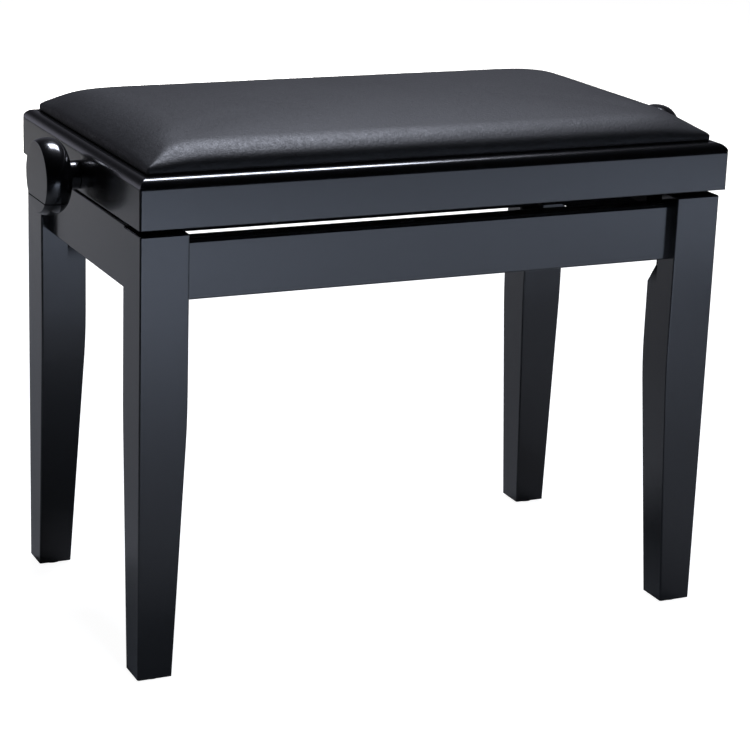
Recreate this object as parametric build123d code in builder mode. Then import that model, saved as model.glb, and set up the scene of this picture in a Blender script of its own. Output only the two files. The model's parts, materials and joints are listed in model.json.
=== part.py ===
from build123d import *
import math
import os

os.makedirs("parts", exist_ok=True)

# Adjustable piano bench on four tapered legs, with a screw-driven scissor lift between base and seat.
# Millimetres. Z is up from the floor, X runs along the seat, and the front faces -Y.

# Seat frame
SEAT_WIDTH = 555.0
SEAT_DEPTH = 328.0
FRAME_HEIGHT = 42.0
FRAME_THICKNESS = 22.0
FRAME_ROUND = 9.0
FRAME_CORNER = 2.0
RIM_WIDTH = 14.0
RIM_END_WIDTH = 11.0
RIM_EASE = 1.5
FRAME_EASE = 0.8

# Cushion
BOARD_THICKNESS = 11.0
COVER_THICKNESS = 1.2
CUSHION_WALL = 4.6
ROLL_RADIUS = 12.0
SHOULDER_RADIUS_Y = 45.0
SHOULDER_RADIUS_X = 116.0
ROLL_TURN_Y = 50.0
ROLL_TURN_X = 64.0
CROWN_SLOPE_Y = 8.0
CROWN_SLOPE_X = 3.0
COVER_CORNER = 5.0
HEM_WIDTH = 18.0
SOFT_GAP = 0.25

# Base
BASE_INSET_X = 2.5
BASE_INSET_Y = 6.0
LEG_LENGTH = 389.0
LEG_WIDTH = 43.0
LEG_FOOT = 31.0
LEG_BEND = 232.0
LEG_BEND_RADIUS = 900.0
LEG_EDGE = 1.6
SEAT_GAP = 6.0
APRON_REACH = 58.5
APRON_THICKNESS = 18.0
FRONT_APRON_DROP = 7.0
SIDE_APRON_DROP = 4.0
APRON_ROUND = 3.5
APRON_EDGE = 1.2
FRONT_SETBACK = 10.0
SIDE_SETBACK = 8.0

# Floor glides
GLIDE_LIFT = 3.0
GLIDE_RADIUS = 11.0
GLIDE_EDGE = 1.5
GLIDE_STEM = 2.5
GLIDE_STEM_LENGTH = 12.0

# Leg fixing
LEG_FLAT = 14.0
LEG_FLAT_LENGTH = 68.0
LEG_FLAT_RUNOUT = 20.0
BRACE_GAP = 3.0
BRACE_THICKNESS = 2.5
BRACE_HEIGHT = 36.0
BRACE_LIFT = 4.5
BRACE_FLANGE = 34.0
BOLT_RADIUS = 3.0
BOLT_DEPTH = 25.0
BOLT_SPACING = 18.0
BOLT_END = 2.5
LEG_WASHER_RADIUS = 6.5
LEG_WASHER_THICKNESS = 1.2
LEG_NUT_ACROSS = 10.0
LEG_NUT_THICKNESS = 5.0

# Wood screws
SCREW_HEAD = 3.8
SCREW_HEAD_HEIGHT = 2.2
SCREW_SHANK = 1.9
BRACE_SCREW_LENGTH = 15.0
CLEAT_SCREW_LENGTH = 31.0
RAIL_SCREW_LENGTH = 12.0
BOARD_SCREW_LENGTH = 33.0

# Lift
LIFT = 85.0
SPINDLE_RISE = 13.4
PIVOT_RISE = 27.4
ARM_LENGTH = 260.0
ARM_HEIGHT = 18.0
ARM_THICKNESS = 5.0
ARM_WASHER = 1.5
ARM_MARGIN = 94.0
RAIL_GAP = 3.5
RAIL_THICKNESS = 3.0
RAIL_FLANGE = 20.0
LOWER_RAIL_BELOW = 7.5
UPPER_RAIL_BELOW = 9.5
UPPER_RAIL_LENGTH = 400.0
CLEAT_WIDTH = 20.0
CLEAT_HEIGHT = 16.0
CLEAT_GAP = 5.0
PIVOT_RADIUS = 4.0
PIVOT_TUBE_RADIUS = 6.4
PIVOT_HEAD_RADIUS = 5.6
PIVOT_HEAD = 1.5
RIVET_HEAD_RADIUS = 7.0
RIVET_HEAD = 2.4
BAR_WIDTH = 24.0
BAR_HEIGHT = 22.0
TRUNNION_RADIUS = 5.0
TRUNNION_END = 2.0
SLEEVE_WALL = 2.5
SLOT_SPARE = 1.0

# Spindle and knobs
SPINDLE_RADIUS = 7.0
SPINDLE_CHAMFER = 1.5
NUT_RADIUS = 9.0
COLLAR_RADIUS = 11.0
COLLAR_WIDTH = 9.0
BUSH_RADIUS = 10.0
BUSH_FLANGE_RADIUS = 12.0
BUSH_FLANGE = 2.0
KNOB_RADIUS = 33.7
KNOB_REACH = 36.5
KNOB_CROWN = 2.7
KNOB_NECK_RADIUS = 12.5
KNOB_NECK = 10.8
KNOB_BACK_RADIUS = 14.7
KNOB_EDGE = 1.0
KNOB_SOCKET = 22.0

# Seat corner blocks
BLOCK_LEG = 50.0
BLOCK_DROP = 24.0
BLOCK_SCREW_INSET = 17.5

# Clearances
PIN_FIT = 0.06
SCREW_FIT = 0.1
SLOT_FIT = 0.3
FACE_FIT = 0.25
KNOB_FIT = 0.5
THRUST_FIT = 0.4

# Levels
LEG_TOP = GLIDE_LIFT + LEG_LENGTH
FRAME_BOTTOM = LEG_TOP + SEAT_GAP
RIM_TOP = FRAME_BOTTOM + FRAME_HEIGHT
BOARD_BOTTOM = RIM_TOP - BOARD_THICKNESS
LEDGE = BOARD_BOTTOM - COVER_THICKNESS - SOFT_GAP
FRONT_APRON_TOP = LEG_TOP - FRONT_APRON_DROP
SIDE_APRON_TOP = LEG_TOP - SIDE_APRON_DROP
APRON_BOTTOM = LEG_TOP - APRON_REACH
BRACE_BOTTOM = APRON_BOTTOM + BRACE_LIFT
BRACE_MIDDLE = BRACE_BOTTOM + BRACE_HEIGHT / 2
SPINDLE_Z = FRAME_BOTTOM + SPINDLE_RISE
PIVOT_Z = SPINDLE_Z - PIVOT_RISE
CENTRE_Z = SPINDLE_Z - PIVOT_RISE / 2

# Plan positions, all measured outward from the centre of the bench
FRAME_X = SEAT_WIDTH / 2
FRAME_Y = SEAT_DEPTH / 2
FRAME_INNER_X = FRAME_X - FRAME_THICKNESS
FRAME_INNER_Y = FRAME_Y - FRAME_THICKNESS
COVER_X = FRAME_X - RIM_END_WIDTH - SOFT_GAP
COVER_Y = FRAME_Y - RIM_WIDTH - SOFT_GAP
LEG_X = FRAME_X - BASE_INSET_X
LEG_Y = FRAME_Y - BASE_INSET_Y
LEG_INNER_X = LEG_X - LEG_WIDTH
LEG_INNER_Y = LEG_Y - LEG_WIDTH
SIDE_APRON_X = LEG_X - SIDE_SETBACK
FRONT_APRON_Y = LEG_Y - FRONT_SETBACK
SIDE_INNER_X = SIDE_APRON_X - APRON_THICKNESS
FRONT_INNER_Y = FRONT_APRON_Y - APRON_THICKNESS
GLIDE_X = LEG_X - LEG_FOOT / 2
GLIDE_Y = LEG_Y - LEG_FOOT / 2
CLEAT_X = SIDE_INNER_X - CLEAT_WIDTH
CLEAT_LENGTH = 2 * (LEG_INNER_Y - CLEAT_GAP)
INNER_ARM_Y = FRAME_Y - ARM_MARGIN
OUTER_ARM_Y = INNER_ARM_Y + ARM_THICKNESS + ARM_WASHER
RAIL_Y = OUTER_ARM_Y + ARM_THICKNESS + RAIL_GAP
RAIL_OUTER_Y = RAIL_Y + RAIL_THICKNESS
FLANGE_MIDDLE_Y = RAIL_OUTER_Y + (RAIL_FLANGE - RAIL_THICKNESS) / 2
BLOCK_SCREW_X = FRAME_INNER_X - BLOCK_SCREW_INSET
BLOCK_SCREW_Y = FRAME_INNER_Y - BLOCK_SCREW_INSET

# Scissor positions with the seat right down
ARM_SPAN = math.sqrt(ARM_LENGTH**2 - PIVOT_RISE**2)
PIVOT_X = ARM_SPAN / 2
ARM_TILT = math.degrees(math.asin(PIVOT_RISE / ARM_LENGTH))
SLIDE = ARM_SPAN - math.sqrt(ARM_LENGTH**2 - (PIVOT_RISE + LIFT) ** 2)

CORNERS = {
    "front_left": (-1, -1),
    "front_right": (1, -1),
    "rear_left": (-1, 1),
    "rear_right": (1, 1),
}
SIDES = {"front": -1, "rear": 1}
ENDS = {"left": -1, "right": 1}


def hand_over(piece, label):
    """Name a finished piece and write its file."""
    piece.part.label = label
    export_step(piece.part, f"parts/{label}.step")


def block(x_limits, y_limits, z_limits, mode=Mode.ADD):
    """Put a square block between three pairs of limits into the piece being built."""
    limits = (x_limits, y_limits, z_limits)
    middle = [(low + high) / 2 for low, high in limits]
    size = [abs(high - low) for low, high in limits]
    with Locations(tuple(middle)):
        Box(*size, mode=mode)


def rod(start, direction, radius, length, mode=Mode.ADD):
    """Put a round rod along a direction into the piece being built."""
    with Locations(Plane(origin=start, z_dir=direction)):
        Cylinder(radius, length, align=(Align.CENTER, Align.CENTER, Align.MIN), mode=mode)


def ring(start, direction, outer, inner, length):
    """Put a plain sleeve or washer along a direction into the piece being built."""
    with BuildSketch(Plane(origin=start, z_dir=direction)) as section:
        Circle(outer)
        Circle(inner, mode=Mode.SUBTRACT)
    extrude(section.sketch, amount=length)


def wood_screw(length):
    """Pan-head screw pointing along +Z, with the underside of its head at the origin."""
    with BuildPart() as screw:
        Cylinder(SCREW_SHANK, length, align=(Align.CENTER, Align.CENTER, Align.MIN))
        chamfer(screw.edges().sort_by(Axis.Z)[-1], SCREW_SHANK * 0.7)
        with Locations((0, 0, -SCREW_HEAD_HEIGHT)):
            Cylinder(SCREW_HEAD, SCREW_HEAD_HEIGHT, align=(Align.CENTER, Align.CENTER, Align.MIN))
        fillet(screw.edges().sort_by(Axis.Z)[0], SCREW_HEAD_HEIGHT * 0.6)
    return screw.part


def set_of_screws(places, length, label):
    """One group of equal screws, each on a plane that points the way it is driven."""
    with BuildPart() as screws:
        with Locations(*places):
            add(wood_screw(length))
    hand_over(screws, label)


def corner_plane(sx, sy, z):
    """Plane on a leg's inner flat, pointing at the middle of the bench."""
    at = (sx * (LEG_INNER_X + LEG_FLAT / 2), sy * (LEG_INNER_Y + LEG_FLAT / 2), z)
    return Plane(origin=at, x_dir=(0, 0, 1), z_dir=(-sx, -sy, 0))


BOLT_LEVELS = (BRACE_MIDDLE - BOLT_SPACING / 2, BRACE_MIDDLE + BOLT_SPACING / 2)
BOLT_PLANES = [corner_plane(sx, sy, z) for sx, sy in CORNERS.values() for z in BOLT_LEVELS]

# The brace plate lies across the corner, a little clear of the leg's flat
BRACE_SUM = LEG_INNER_X + LEG_INNER_Y + LEG_FLAT - BRACE_GAP * math.sqrt(2)
BRACE_BEND_X = BRACE_SUM - FRONT_INNER_Y
BRACE_BEND_Y = BRACE_SUM - SIDE_INNER_X
BRACE_SCREW_STEPS = (BRACE_FLANGE * 0.3, BRACE_FLANGE * 0.75)


def front_screw_planes(sx, sy):
    """Places of the two brace screws in a front or rear apron."""
    y = sy * (FRONT_INNER_Y - BRACE_THICKNESS)
    return [
        Plane(origin=(sx * (BRACE_BEND_X - step), y, BRACE_MIDDLE), z_dir=(0, sy, 0))
        for step in BRACE_SCREW_STEPS
    ]


def side_screw_planes(sx, sy):
    """Places of the two brace screws in a side apron."""
    x = sx * (SIDE_INNER_X - BRACE_THICKNESS)
    return [
        Plane(origin=(x, sy * (BRACE_BEND_Y - step), BRACE_MIDDLE), z_dir=(sx, 0, 0))
        for step in BRACE_SCREW_STEPS
    ]


def screw_holes(places, length):
    """Cut screw holes through whatever is being built."""
    with Locations(*places):
        Cylinder(
            SCREW_SHANK + SCREW_FIT,
            length + SCREW_FIT,
            align=(Align.CENTER, Align.CENTER, Align.MIN),
            mode=Mode.SUBTRACT,
        )


# Legs: straight outer faces, and inner faces that taper below a soft bend
def leg_outline(sign, outer):
    """Side view of a leg, drawn upward from the floor end."""
    inner_top = sign * (outer - LEG_WIDTH)
    inner_foot = sign * (outer - LEG_FOOT)
    with BuildLine() as outline:
        Polyline(
            (sign * outer, GLIDE_LIFT),
            (inner_foot, GLIDE_LIFT),
            (inner_top, LEG_BEND),
            (inner_top, LEG_TOP),
            (sign * outer, LEG_TOP),
            close=True,
        )
    make_face(outline.edges())


for corner, (sx, sy) in CORNERS.items():
    inner_corner = (sx * LEG_INNER_X, sy * LEG_INNER_Y, 0)
    flat_depth = LEG_FLAT / math.sqrt(2)
    flat_end = LEG_TOP - LEG_FLAT_LENGTH
    with BuildPart() as leg:
        with BuildSketch(Plane.XZ) as front_view:
            leg_outline(sx, LEG_X)
            fillet(front_view.vertices().sort_by_distance((sx * LEG_INNER_X, LEG_BEND))[0], LEG_BEND_RADIUS)
        extrude(amount=SEAT_DEPTH, both=True)
        with BuildSketch(Plane.YZ) as side_view:
            leg_outline(sy, LEG_Y)
            fillet(side_view.vertices().sort_by_distance((sy * LEG_INNER_Y, LEG_BEND))[0], LEG_BEND_RADIUS)
        extrude(amount=SEAT_WIDTH, both=True, mode=Mode.INTERSECT)
        end_edges = leg.faces().filter_by(Axis.Z).edges()
        fillet([edge for edge in leg.edges() if edge not in end_edges and edge.length > LEG_WIDTH], LEG_EDGE)
        fillet(leg.faces().sort_by(Axis.Z)[-1].edges(), LEG_EDGE * 0.8)
        with BuildSketch(Plane(origin=inner_corner, x_dir=(sx, sy, 0), z_dir=(sy, -sx, 0))):
            with BuildLine():
                Polyline(
                    (-flat_depth, flat_end - LEG_FLAT_RUNOUT),
                    (0, flat_end - LEG_FLAT_RUNOUT),
                    (flat_depth, flat_end),
                    (flat_depth, RIM_TOP),
                    (-flat_depth, RIM_TOP),
                    close=True,
                )
            make_face()
        extrude(amount=LEG_FLAT, both=True, mode=Mode.SUBTRACT)
        for level in BOLT_LEVELS:
            hole = corner_plane(sx, sy, level)
            rod(hole.origin, -hole.z_dir, BOLT_RADIUS + PIN_FIT, BOLT_DEPTH + PIN_FIT, Mode.SUBTRACT)
        rod(
            (sx * GLIDE_X, sy * GLIDE_Y, GLIDE_LIFT),
            (0, 0, 1),
            GLIDE_STEM + PIN_FIT,
            GLIDE_STEM_LENGTH + PIN_FIT,
            Mode.SUBTRACT,
        )
    hand_over(leg, f"leg_{corner}")

# Floor glides pressed into the feet
with BuildPart() as glide:
    Cylinder(GLIDE_RADIUS, GLIDE_LIFT, align=(Align.CENTER, Align.CENTER, Align.MIN))
    fillet(glide.edges().sort_by(Axis.Z)[0], GLIDE_EDGE)
    Cylinder(
        GLIDE_STEM,
        GLIDE_LIFT + GLIDE_STEM_LENGTH,
        align=(Align.CENTER, Align.CENTER, Align.MIN),
    )
with BuildPart() as floor_glides:
    with GridLocations(2 * GLIDE_X, 2 * GLIDE_Y, 2, 2):
        add(glide.part)
hand_over(floor_glides, "floor_glides")

# Aprons, set back from the legs, the long ones lower and with a rounder outer top edge
for side, sy in SIDES.items():
    with BuildPart() as apron:
        block(
            (-LEG_INNER_X, LEG_INNER_X),
            (sy * FRONT_INNER_Y, sy * FRONT_APRON_Y),
            (APRON_BOTTOM, FRONT_APRON_TOP),
        )
        long_edges = apron.edges().filter_by(Axis.X)
        outer_top = long_edges.sort_by_distance((0, sy * FRONT_APRON_Y, FRONT_APRON_TOP))[0]
        fillet(outer_top, APRON_ROUND)
        long_edges = apron.edges().filter_by(Axis.X)
        fillet(long_edges.group_by(Axis.Z)[0], APRON_EDGE)
        for sx in ENDS.values():
            screw_holes(front_screw_planes(sx, sy), BRACE_SCREW_LENGTH)
    hand_over(apron, f"apron_{side}")

CLEAT_SCREW_STEPS = (-CLEAT_LENGTH / 4, 0, CLEAT_LENGTH / 4)
CLEAT_MIDDLE = LEG_TOP - CLEAT_HEIGHT / 2


def cleat_screw_planes(sx):
    """Places of the screws that hold a cleat to its apron."""
    return [Plane(origin=(sx * CLEAT_X, y, CLEAT_MIDDLE), z_dir=(sx, 0, 0)) for y in CLEAT_SCREW_STEPS]


for end, sx in ENDS.items():
    with BuildPart() as apron:
        block(
            (sx * SIDE_INNER_X, sx * SIDE_APRON_X),
            (-LEG_INNER_Y, LEG_INNER_Y),
            (APRON_BOTTOM, SIDE_APRON_TOP),
        )
        long_edges = apron.edges().filter_by(Axis.Y)
        outer_top = long_edges.sort_by_distance((sx * SIDE_APRON_X, 0, SIDE_APRON_TOP))[0]
        fillet([outer_top] + list(long_edges.group_by(Axis.Z)[0]), APRON_EDGE)
        for sy in SIDES.values():
            screw_holes(side_screw_planes(sx, sy), BRACE_SCREW_LENGTH)
        screw_holes(cleat_screw_planes(sx), CLEAT_SCREW_LENGTH)
    hand_over(apron, f"apron_{end}")

# Bent steel braces across the four corners
for corner, (sx, sy) in CORNERS.items():
    inset = BRACE_THICKNESS * math.tan(math.radians(22.5))
    with BuildPart() as brace:
        with BuildSketch(Plane.XY.offset(BRACE_BOTTOM)):
            with BuildLine():
                Polyline(
                    (sx * (BRACE_BEND_X - BRACE_FLANGE), sy * FRONT_INNER_Y),
                    (sx * BRACE_BEND_X, sy * FRONT_INNER_Y),
                    (sx * SIDE_INNER_X, sy * BRACE_BEND_Y),
                    (sx * SIDE_INNER_X, sy * (BRACE_BEND_Y - BRACE_FLANGE)),
                    (sx * (SIDE_INNER_X - BRACE_THICKNESS), sy * (BRACE_BEND_Y - BRACE_FLANGE)),
                    (sx * (SIDE_INNER_X - BRACE_THICKNESS), sy * (BRACE_BEND_Y - inset)),
                    (sx * (BRACE_BEND_X - inset), sy * (FRONT_INNER_Y - BRACE_THICKNESS)),
                    (sx * (BRACE_BEND_X - BRACE_FLANGE), sy * (FRONT_INNER_Y - BRACE_THICKNESS)),
                    close=True,
                )
            make_face()
        extrude(amount=BRACE_HEIGHT)
        screw_holes(front_screw_planes(sx, sy) + side_screw_planes(sx, sy), BRACE_THICKNESS)
        for level in BOLT_LEVELS:
            hole = corner_plane(sx, sy, level)
            rod(hole.origin, hole.z_dir, BOLT_RADIUS + PIN_FIT, BRACE_GAP + 2 * BRACE_THICKNESS, Mode.SUBTRACT)
    hand_over(brace, f"corner_brace_{corner}")

BRACE_SCREW_PLANES = [
    place
    for sx, sy in CORNERS.values()
    for place in front_screw_planes(sx, sy) + side_screw_planes(sx, sy)
]
set_of_screws(BRACE_SCREW_PLANES, BRACE_SCREW_LENGTH, "brace_screws")

# Leg bolts with their washers and nuts
WASHER_START = BRACE_GAP + BRACE_THICKNESS
NUT_START = WASHER_START + LEG_WASHER_THICKNESS
BOLT_TIP = NUT_START + LEG_NUT_THICKNESS + BOLT_END
with BuildPart() as bolt:
    with Locations((0, 0, -BOLT_DEPTH)):
        Cylinder(BOLT_RADIUS, BOLT_DEPTH + BOLT_TIP, align=(Align.CENTER, Align.CENTER, Align.MIN))
    chamfer(bolt.edges(), BOLT_RADIUS * 0.3)
with BuildPart() as leg_bolts:
    with Locations(*BOLT_PLANES):
        add(bolt.part)
hand_over(leg_bolts, "leg_bolts")

with BuildPart() as washer:
    ring((0, 0, WASHER_START), (0, 0, 1), LEG_WASHER_RADIUS, BOLT_RADIUS + PIN_FIT, LEG_WASHER_THICKNESS)
with BuildPart() as leg_washers:
    with Locations(*BOLT_PLANES):
        add(washer.part)
hand_over(leg_washers, "leg_washers")

with BuildPart() as nut:
    with BuildSketch(Plane.XY.offset(NUT_START)):
        RegularPolygon(LEG_NUT_ACROSS / 2, 6, major_radius=False)
        Circle(BOLT_RADIUS + PIN_FIT, mode=Mode.SUBTRACT)
    extrude(amount=LEG_NUT_THICKNESS)
with BuildPart() as leg_nuts:
    with Locations(*BOLT_PLANES):
        add(nut.part)
hand_over(leg_nuts, "leg_nuts")

# Cleats on the side aprons that carry the lower rails
RAIL_SCREW_STEPS = (CLEAT_X + CLEAT_WIDTH * 0.25, CLEAT_X + CLEAT_WIDTH * 0.75)


def lower_rail_screw_planes(sx, sy):
    """Places of the two screws at one end of a lower rail."""
    return [
        Plane(origin=(sx * x, sy * FLANGE_MIDDLE_Y, LEG_TOP + RAIL_THICKNESS), z_dir=(0, 0, -1))
        for x in RAIL_SCREW_STEPS
    ]


for end, sx in ENDS.items():
    with BuildPart() as cleat:
        block(
            (sx * CLEAT_X, sx * SIDE_INNER_X),
            (-CLEAT_LENGTH / 2, CLEAT_LENGTH / 2),
            (LEG_TOP - CLEAT_HEIGHT, LEG_TOP),
        )
        screw_holes(cleat_screw_planes(sx), CLEAT_SCREW_LENGTH)
        for sy in SIDES.values():
            screw_holes(lower_rail_screw_planes(sx, sy), RAIL_SCREW_LENGTH)
    hand_over(cleat, f"rail_cleat_{end}")
set_of_screws(
    [place for sx in ENDS.values() for place in cleat_screw_planes(sx)],
    CLEAT_SCREW_LENGTH,
    "cleat_screws",
)

# Lower rails: steel angles with a pivot hole at the left and a slot at the right
for side, sy in SIDES.items():
    with BuildPart() as rail:
        block(
            (-SIDE_INNER_X + FACE_FIT, SIDE_INNER_X - FACE_FIT),
            (sy * RAIL_Y, sy * (RAIL_Y + RAIL_FLANGE)),
            (LEG_TOP, LEG_TOP + RAIL_THICKNESS),
        )
        block(
            (-CLEAT_X + RAIL_GAP, CLEAT_X - RAIL_GAP),
            (sy * RAIL_Y, sy * RAIL_OUTER_Y),
            (PIVOT_Z - LOWER_RAIL_BELOW, LEG_TOP + RAIL_THICKNESS),
        )
        rod((-PIVOT_X, 0, PIVOT_Z), (0, sy, 0), PIVOT_RADIUS + PIN_FIT, RAIL_OUTER_Y, Mode.SUBTRACT)
        with BuildSketch(Plane(origin=(PIVOT_X - SLIDE / 2, 0, PIVOT_Z), x_dir=(1, 0, 0), z_dir=(0, sy, 0))):
            SlotCenterToCenter(SLIDE + 2 * SLOT_SPARE, 2 * (PIVOT_RADIUS + SLOT_FIT))
        extrude(amount=RAIL_OUTER_Y, mode=Mode.SUBTRACT)
        for sx in ENDS.values():
            screw_holes(lower_rail_screw_planes(sx, sy), RAIL_SCREW_LENGTH)
    hand_over(rail, f"lower_rail_{side}")
set_of_screws(
    [place for sx, sy in CORNERS.values() for place in lower_rail_screw_planes(sx, sy)],
    RAIL_SCREW_LENGTH,
    "lower_rail_screws",
)

# Lower shafts: one fixed in the left holes, one carried along the right slots
SHAFT_END = RAIL_OUTER_Y + FACE_FIT


def headed_shaft(x, label):
    """Cross shaft with a flat head outside each lower rail."""
    with BuildPart() as shaft:
        rod((x, -SHAFT_END, PIVOT_Z), (0, 1, 0), PIVOT_RADIUS, 2 * SHAFT_END)
        for sy in SIDES.values():
            rod((x, sy * SHAFT_END, PIVOT_Z), (0, sy, 0), PIVOT_HEAD_RADIUS, PIVOT_HEAD)
    hand_over(shaft, label)


def shaft_tube(x, end_y, label):
    """Spacer tube between the two arms that share a shaft."""
    with BuildPart() as tube:
        ring((x, -end_y, PIVOT_Z), (0, 1, 0), PIVOT_TUBE_RADIUS, PIVOT_RADIUS + PIN_FIT, 2 * end_y)
    hand_over(tube, label)


def shaft_spacers(x, start_y, z, bore, wall, label):
    """Sleeves between the arms and the rails on both sides."""
    with BuildPart() as spacers:
        for sy in SIDES.values():
            ring(
                (x, sy * (start_y + FACE_FIT), z),
                (0, sy, 0),
                bore + wall,
                bore + PIN_FIT,
                RAIL_Y - start_y - 2 * FACE_FIT,
            )
    hand_over(spacers, label)


OUTER_ARM_END_Y = OUTER_ARM_Y + ARM_THICKNESS
INNER_ARM_END_Y = INNER_ARM_Y + ARM_THICKNESS
PIVOT_WALL = PIVOT_TUBE_RADIUS - PIVOT_RADIUS
headed_shaft(-PIVOT_X, "lower_pivot_shaft")
shaft_tube(-PIVOT_X, OUTER_ARM_Y - FACE_FIT, "lower_pivot_tube")
shaft_spacers(-PIVOT_X, OUTER_ARM_END_Y, PIVOT_Z, PIVOT_RADIUS, PIVOT_WALL, "lower_pivot_spacers")
headed_shaft(PIVOT_X, "slide_shaft")
shaft_tube(PIVOT_X, INNER_ARM_Y - FACE_FIT, "slide_tube")
shaft_spacers(PIVOT_X, INNER_ARM_END_Y, PIVOT_Z, PIVOT_RADIUS, PIVOT_WALL, "slide_spacers")


# Scissor arms: the outer pair rises to the right, the inner pair to the left
def scissor_arm(rise, near_y, sy, label):
    """Flat bar with round ends, bored at both ends and in the middle."""
    tilt = math.radians(ARM_TILT) * rise
    along = (math.cos(tilt), 0, math.sin(tilt))
    with BuildPart() as arm:
        with BuildSketch(Plane(origin=(0, sy * near_y, CENTRE_Z), x_dir=along, z_dir=(0, sy, 0))):
            SlotCenterToCenter(ARM_LENGTH, ARM_HEIGHT)
            Circle(PIVOT_RADIUS + PIN_FIT, mode=Mode.SUBTRACT)
            with Locations((-rise * ARM_LENGTH / 2, 0)):
                Circle(PIVOT_RADIUS + PIN_FIT, mode=Mode.SUBTRACT)
            with Locations((rise * ARM_LENGTH / 2, 0)):
                Circle(TRUNNION_RADIUS + PIN_FIT, mode=Mode.SUBTRACT)
        extrude(amount=ARM_THICKNESS)
    hand_over(arm, label)


for side, sy in SIDES.items():
    scissor_arm(1, OUTER_ARM_Y, sy, f"outer_arm_{side}")
    scissor_arm(-1, INNER_ARM_Y, sy, f"inner_arm_{side}")

# Rivets at the crossing of the arms, with a washer between
RIVET_START = INNER_ARM_Y - FACE_FIT
RIVET_LENGTH = OUTER_ARM_END_Y + FACE_FIT - RIVET_START
with BuildPart() as crossing_rivets:
    for sy in SIDES.values():
        rod((0, sy * RIVET_START, CENTRE_Z), (0, sy, 0), PIVOT_RADIUS, RIVET_LENGTH)
        rod((0, sy * RIVET_START, CENTRE_Z), (0, -sy, 0), RIVET_HEAD_RADIUS, RIVET_HEAD)
        rod((0, sy * (RIVET_START + RIVET_LENGTH), CENTRE_Z), (0, sy, 0), RIVET_HEAD_RADIUS, RIVET_HEAD)
hand_over(crossing_rivets, "crossing_rivets")

with BuildPart() as crossing_washers:
    for sy in SIDES.values():
        ring(
            (0, sy * (INNER_ARM_END_Y + FACE_FIT), CENTRE_Z),
            (0, sy, 0),
            ARM_HEIGHT / 2,
            PIVOT_RADIUS + PIN_FIT,
            ARM_WASHER - FACE_FIT,
        )
hand_over(crossing_washers, "crossing_washers")


# Cross bars on the spindle: the right one carries the nut, the left one takes the thrust
def cross_bar(x, half_length, bore, label):
    """Square bar with a round trunnion at each end and a bore across its middle."""
    trunnion_end = RAIL_OUTER_Y + TRUNNION_END
    with BuildPart() as bar:
        block(
            (x - BAR_WIDTH / 2, x + BAR_WIDTH / 2),
            (-half_length, half_length),
            (SPINDLE_Z - BAR_HEIGHT / 2, SPINDLE_Z + BAR_HEIGHT / 2),
        )
        rod((x, -trunnion_end, SPINDLE_Z), (0, 1, 0), TRUNNION_RADIUS, 2 * trunnion_end)
        rod((x - BAR_WIDTH, 0, SPINDLE_Z), (1, 0, 0), bore, 2 * BAR_WIDTH, Mode.SUBTRACT)
    hand_over(bar, label)


cross_bar(PIVOT_X, OUTER_ARM_Y - FACE_FIT, NUT_RADIUS + PIN_FIT, "nut_bar")
cross_bar(-PIVOT_X, INNER_ARM_Y - FACE_FIT, SPINDLE_RADIUS + PIN_FIT, "thrust_bar")
shaft_spacers(-PIVOT_X, INNER_ARM_END_Y, SPINDLE_Z, TRUNNION_RADIUS, SLEEVE_WALL, "thrust_bar_spacers")

with BuildPart() as lifting_nut:
    ring(
        (PIVOT_X - BAR_WIDTH / 2, 0, SPINDLE_Z),
        (1, 0, 0),
        NUT_RADIUS,
        SPINDLE_RADIUS + PIN_FIT,
        BAR_WIDTH,
    )
hand_over(lifting_nut, "lifting_nut")


# Seat frame: rebated rails mitred at the corners
def rail_section(sign, outer, inner, rim):
    """Cross section of a seat rail, with its ledge inside and its round edge outside."""
    with BuildLine() as outline:
        Polyline(
            (sign * outer, RIM_TOP - FRAME_ROUND),
            (sign * outer, FRAME_BOTTOM),
            (sign * inner, FRAME_BOTTOM),
            (sign * inner, LEDGE),
            (sign * rim, LEDGE),
            (sign * rim, RIM_TOP),
            (sign * (outer - FRAME_ROUND), RIM_TOP),
        )
        RadiusArc(
            (sign * (outer - FRAME_ROUND), RIM_TOP),
            (sign * outer, RIM_TOP - FRAME_ROUND),
            sign * FRAME_ROUND,
        )
    make_face(outline.edges())


def rail_plan(points):
    """Mitred plan of one rail inside the eased outline of the seat."""
    with BuildSketch(Plane.XY.offset(FRAME_BOTTOM)) as plan:
        RectangleRounded(SEAT_WIDTH, SEAT_DEPTH, FRAME_CORNER)
        with BuildLine():
            Polyline(*points, close=True)
        make_face(mode=Mode.INTERSECT)
    extrude(plan.sketch, amount=FRAME_HEIGHT, mode=Mode.INTERSECT)


RIM_X = FRAME_X - RIM_END_WIDTH
RIM_Y = FRAME_Y - RIM_WIDTH
MITRE = FRAME_THICKNESS * 2
for side, sy in SIDES.items():
    with BuildPart() as rail:
        with BuildSketch(Plane.YZ) as section:
            rail_section(sy, FRAME_Y, FRAME_INNER_Y, RIM_Y)
            fillet(section.vertices().sort_by_distance((sy * RIM_Y, RIM_TOP))[0], RIM_EASE)
            fillet(section.vertices().sort_by_distance((sy * FRAME_Y, FRAME_BOTTOM))[0], FRAME_EASE)
        extrude(amount=FRAME_X, both=True)
        rail_plan(
            [
                (-FRAME_X, sy * FRAME_Y),
                (FRAME_X, sy * FRAME_Y),
                (FRAME_X - MITRE, sy * (FRAME_Y - MITRE)),
                (-FRAME_X + MITRE, sy * (FRAME_Y - MITRE)),
            ]
        )
    hand_over(rail, f"seat_rail_{side}")

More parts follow.
